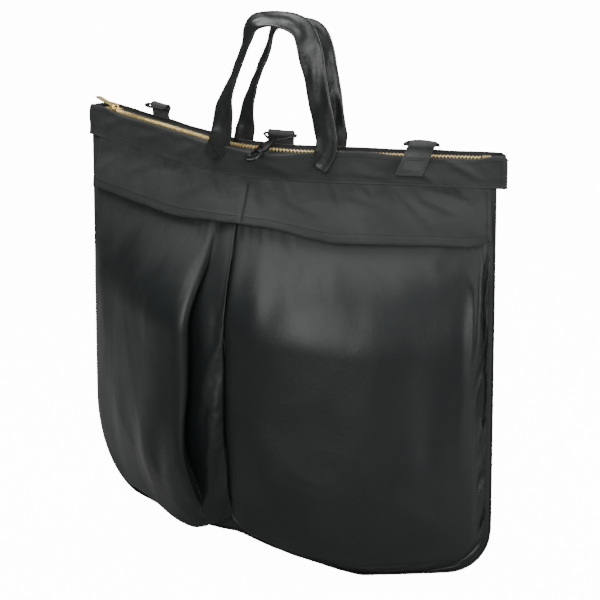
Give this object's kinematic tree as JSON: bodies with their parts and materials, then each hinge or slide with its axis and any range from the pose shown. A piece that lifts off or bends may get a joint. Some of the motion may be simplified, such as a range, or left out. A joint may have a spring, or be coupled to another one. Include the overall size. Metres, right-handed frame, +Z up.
{
  "type": "flight bag",
  "caption": "Black nylon flyer's helmet bag with two gusseted front pockets under a sewn flap, a zipped mouth, webbing loops with rings and a snap hook, and two carrying handles.",
  "frame": {"origin": "centre of the bag's box, on the floor that its lower right half stands on", "axes": "+X to the bag's right as seen from the front, +Y to the rear, +Z up"},
  "size_m": [0.5352, 0.2054, 0.6405],
  "materials": {
    "nylon": "charcoal-black coated satin nylon with a soft sheen",
    "webbing": "ribbed matte nylon webbing",
    "tape": "twill zip tape",
    "brass": "bright stamped brass",
    "black_metal": "black enamelled wire and stampings"
  },
  "bodies": {
    "bag": {"front_panel": "nylon", "rear_panel": "nylon", "side_gusset": "nylon", "band_front": "nylon", "band_rear": "nylon", "band_end_left": "nylon", "band_end_right": "nylon", "flap_centre": "nylon", "pocket_face_left": "nylon", "pocket_face_right": "nylon", "pocket_gusset_left": "nylon", "pocket_gusset_right": "nylon", "handle_tab_front_left": "nylon", "handle_tab_front_right": "nylon", "handle_tab_rear_left": "nylon", "handle_tab_rear_right": "nylon", "loop_rear_left": "webbing", "loop_rear_centre": "webbing", "loop_front_right": "webbing", "zip_tape_front": "tape", "zip_tape_rear": "tape", "zip_teeth_front": "brass", "zip_teeth_rear": "brass", "top_stop_front": "brass", "top_stop_rear": "brass", "bottom_stop": "brass"},
    "flap_left": {"flap_left": "nylon"},
    "flap_right": {"flap_right": "nylon"},
    "handle_front": {"handle_front": "nylon"},
    "handle_rear": {"handle_rear": "nylon"},
    "ring_left": {"ring_rear_left": "black_metal"},
    "ring_right": {"ring_front_right": "black_metal"},
    "bail": {"hook_bail": "black_metal"},
    "hook": {"hook_body": "black_metal"},
    "gate": {"hook_gate": "black_metal"},
    "slider": {"zip_slider": "brass"},
    "pull": {"zip_pull": "brass"}
  },
  "joints": [
    {"name": "flap_left_lift", "type": "hinge", "parent": "bag", "child": "flap_left", "pos_m": [-0.25356, 0.07107, 0.46772], "axis": [-0.8982, 0.4381, 0.036], "range_deg": [0, 100]},
    {"name": "flap_right_lift", "type": "hinge", "parent": "bag", "child": "flap_right", "pos_m": [0.25356, 0.07107, 0.44828], "axis": [-0.8982, -0.4381, 0.036], "range_deg": [0, 100]},
    {"name": "handle_front_fall", "type": "hinge", "parent": "bag", "child": "handle_front", "pos_m": [0.02841, -0.02406, 0.50549], "axis": [-0.9812, -0.1903, 0.0333], "range_deg": [-100, 0]},
    {"name": "handle_rear_fall", "type": "hinge", "parent": "bag", "child": "handle_rear", "pos_m": [0.03284, 0.00873, 0.50516], "axis": [0.9736, 0.2248, -0.0396], "range_deg": [-100, 0]},
    {"name": "ring_left_swing", "type": "hinge", "parent": "bag", "child": "ring_left", "pos_m": [-0.16145, 0.05918, 0.51155], "axis": [-0.8982, 0.4381, 0.036], "range_deg": [0, 150]},
    {"name": "ring_right_swing", "type": "hinge", "parent": "bag", "child": "ring_right", "pos_m": [0.18232, 0.03465, 0.49816], "axis": [0.8982, 0.4381, -0.036], "range_deg": [0, 150]},
    {"name": "bail_swing", "type": "hinge", "parent": "bag", "child": "bail", "pos_m": [0.02578, -0.00079, 0.50396], "axis": [-0.9817, -0.1868, 0.036], "range_deg": [0, 140]},
    {"name": "hook_swivel", "type": "hinge", "parent": "bail", "child": "hook", "pos_m": [0.02749, -0.0266, 0.5], "axis": [-0.3083, -0.861, -0.4044], "continuous": true},
    {"name": "gate_press", "type": "hinge", "parent": "hook", "child": "gate", "pos_m": [0.01682, -0.04579, 0.49087], "axis": [-0.0272, -0.417, 0.9085], "range_deg": [0, 28]},
    {"name": "zip_slide", "type": "slide", "parent": "bag", "child": "slider", "axis": [0.8982, -0.4381, -0.036], "range_m": [0, 0.17]},
    {"name": "pull_swing", "type": "hinge", "parent": "slider", "child": "pull", "pos_m": [-0.23444, 0.07743, 0.5043], "axis": [0.4384, 0.8988, 0], "range_deg": [0, 130]}
  ]
}
